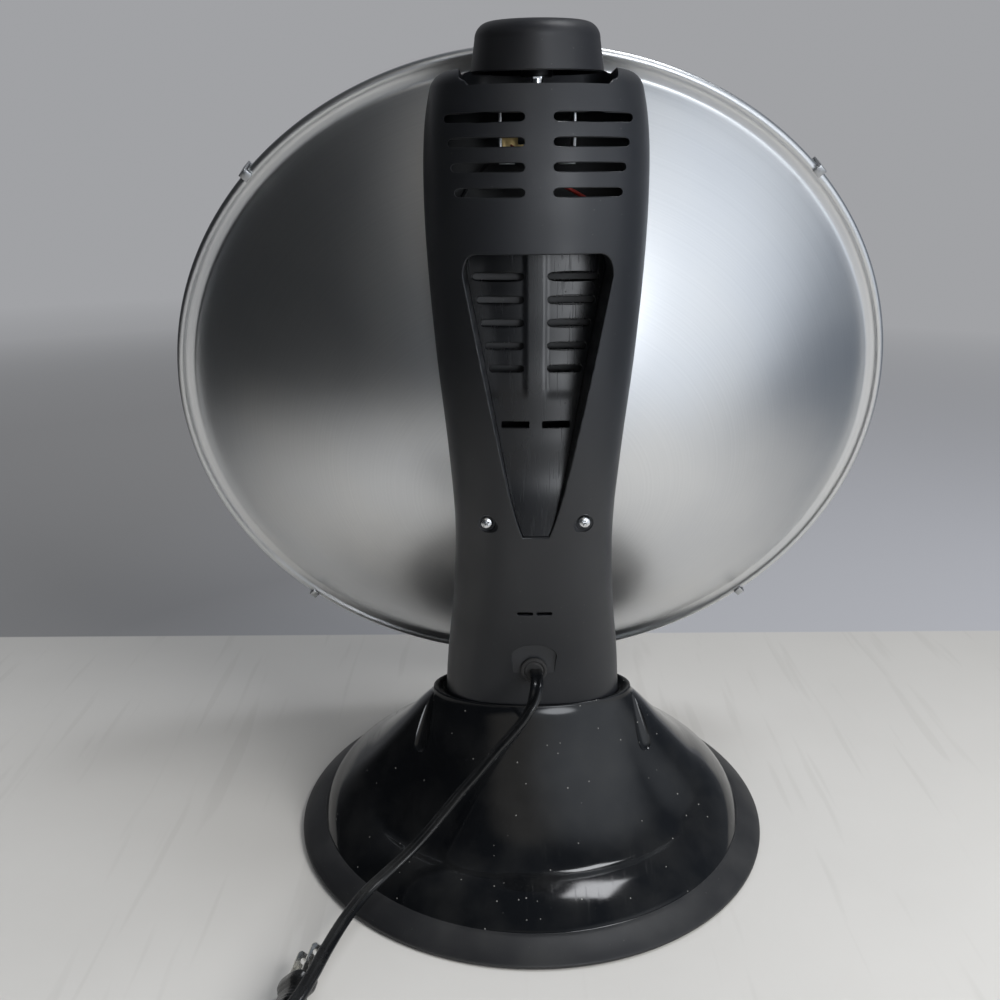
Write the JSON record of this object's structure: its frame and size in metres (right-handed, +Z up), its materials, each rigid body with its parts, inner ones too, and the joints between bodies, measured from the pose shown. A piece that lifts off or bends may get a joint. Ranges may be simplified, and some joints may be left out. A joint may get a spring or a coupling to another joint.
{
  "type": "parabolic heater",
  "caption": "Electric parabolic heater: a satin aluminium dish with a wire guard on a black moulded column with a carry handle, top knob, vent slots and a round bell base.",
  "frame": {"origin": "on the floor, at the middle of the round base", "axes": "+Z up; -Y the way the dish faces; +X to the left of someone who looks at the handle side"},
  "size_m": [0.4334, 0.4378, 0.4467],
  "materials": {
    "base_gloss": "gloss black moulding",
    "column_matte": "fine matte moulded grain",
    "panel_gloss": "gloss black moulding",
    "knob_matte": "fine matte",
    "black_plastic": "moulded",
    "reflector_aluminium": "spun, satin",
    "plated_steel": "zinc plated",
    "bright_plate": "bright plated",
    "contact_brass": "stamped",
    "plug_blades": "nickel plated, worn",
    "ceramic": "matte ceramic",
    "heating_wire": "oxidised",
    "foot_rubber": "matte",
    "cord_black": "soft vinyl, satin",
    "lead_white": "insulation",
    "lead_red": "insulation"
  },
  "bodies": {
    "heater": {"base_shell": "base_gloss", "base_plate": "plated_steel", "thermostat_nut": "plated_steel", "thermostat_frame": "plated_steel", "dish_clamp_ring": "plated_steel", "element_tip_nut": "plated_steel", "sensor_bracket": "plated_steel", "sensor_pin": "plated_steel", "rubber_foot_1": "foot_rubber", "rubber_foot_2": "foot_rubber", "rubber_foot_3": "foot_rubber", "rubber_foot_4": "foot_rubber", "cord_tie": "foot_rubber", "strain_relief_bushing": "foot_rubber", "base_plate_screw_1": "plated_steel", "base_plate_screw_2": "plated_steel", "base_plate_screw_3": "plated_steel", "base_plate_screw_4": "plated_steel", "column_foot_screw_1": "plated_steel", "column_foot_screw_2": "plated_steel", "column_foot_screw_3": "plated_steel", "column_foot_screw_4": "plated_steel", "dish_screw_1": "plated_steel", "dish_screw_2": "plated_steel", "dish_screw_3": "plated_steel", "guard_clip_1": "plated_steel", "guard_clip_2": "plated_steel", "guard_clip_3": "plated_steel", "guard_clip_4": "plated_steel", "column_rear_shell": "column_matte", "column_front_shell": "column_matte", "handle_recess_panel": "panel_gloss", "shell_screw_left": "bright_plate", "shell_screw_right": "bright_plate", "wire_guard": "bright_plate", "thermostat_bush": "contact_brass", "thermostat_contacts": "contact_brass", "element_screw_shell": "contact_brass", "socket_terminal_left": "contact_brass", "socket_terminal_right": "contact_brass", "reflector_dish": "reflector_aluminium", "element_socket": "ceramic", "element_core": "ceramic", "reed_switch": "ceramic", "element_coil": "heating_wire", "buzzer": "black_plastic", "wire_supply": "black_plastic", "wire_neutral": "lead_white", "wire_switched": "lead_red", "wire_sensor": "lead_red", "cord_lead": "cord_black", "cord_coil": "cord_black", "cord_tail": "cord_black", "plug_body": "cord_black", "plug_blade_wide": "plug_blades", "plug_blade_narrow": "plug_blades"},
    "knob": {"knob": "knob_matte", "thermostat_shaft": "bright_plate"},
    "pendulum": {"tip_pendulum": "contact_brass"}
  },
  "joints": [
    {"name": "knob_turn", "type": "hinge", "parent": "heater", "child": "knob", "pos_m": [0, 0.0735, 0.4232], "axis": [0, 0.0523, 0.9986], "range_deg": [-280, 0]},
    {"name": "tip_pendulum_swing", "type": "hinge", "parent": "heater", "child": "pendulum", "pos_m": [0, 0.039, 0.1673], "axis": [1, 0, 0], "range_deg": [-20, 20]}
  ]
}
